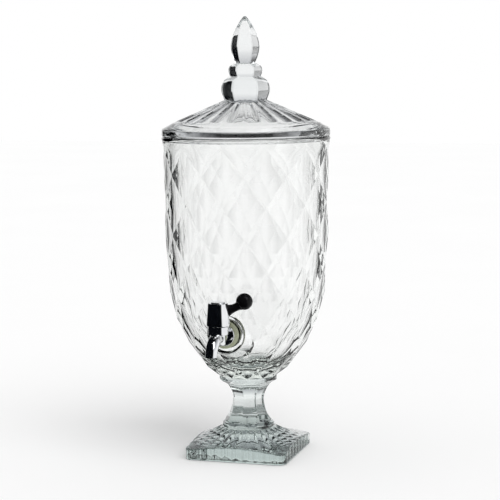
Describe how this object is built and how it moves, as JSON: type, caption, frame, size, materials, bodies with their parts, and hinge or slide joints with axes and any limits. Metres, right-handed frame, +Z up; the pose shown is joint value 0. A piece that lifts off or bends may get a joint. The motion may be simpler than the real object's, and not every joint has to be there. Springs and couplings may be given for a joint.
{
  "type": "footed glass dispenser with tap",
  "caption": "Tall footed clear-glass dispenser with a diamond-cut bowl, fluted lift-off lid with a flame knob and a chrome quarter-turn tap with a black ball lever.",
  "frame": {"origin": "centre of the square foot's underside, on the bowl's axis", "axes": "+Z up along the bowl's axis; the tap points along -Y; the closed lever points to the +X side, 22 degrees back from it"},
  "size_m": [0.1766, 0.2204, 0.46],
  "materials": {
    "clear_glass": "clear pressed glass, fire polished",
    "foot_glass": "clear pressed glass, thick, faint grey-green",
    "lid_glass": "clear pressed glass, fire polished",
    "chrome": "polished chrome plate",
    "black_plastic": "gloss black moulded plastic",
    "cream_silicone": "satin cream silicone",
    "seal_rubber": "black nitrile rubber",
    "brass": "turned brass",
    "steel": "stainless steel",
    "nut_plastic": "white moulded plastic"
  },
  "bodies": {
    "dispenser": {"bowl": "clear_glass", "pedestal": "foot_glass", "tap_body": "chrome", "bonnet_ring": "chrome", "outer_gasket": "cream_silicone", "inner_gasket": "cream_silicone", "inner_washer": "steel", "lock_nut": "nut_plastic"},
    "lid": {"lid": "lid_glass"},
    "tap_handle": {"handle_cap": "chrome", "lever": "black_plastic", "valve_plug": "brass", "plug_o_ring_upper": "seal_rubber", "plug_o_ring_lower": "seal_rubber", "handle_screw": "steel", "top_button": "chrome"}
  },
  "joints": [
    {"name": "lid_lift", "type": "slide", "parent": "dispenser", "child": "lid", "axis": [0, 0, 1], "range_m": [0, 0.1]},
    {"name": "tap_turn", "type": "hinge", "parent": "dispenser", "child": "tap_handle", "pos_m": [0, -0.102, 0.16], "axis": [0, 0, -1], "range_deg": [0, 90]}
  ]
}
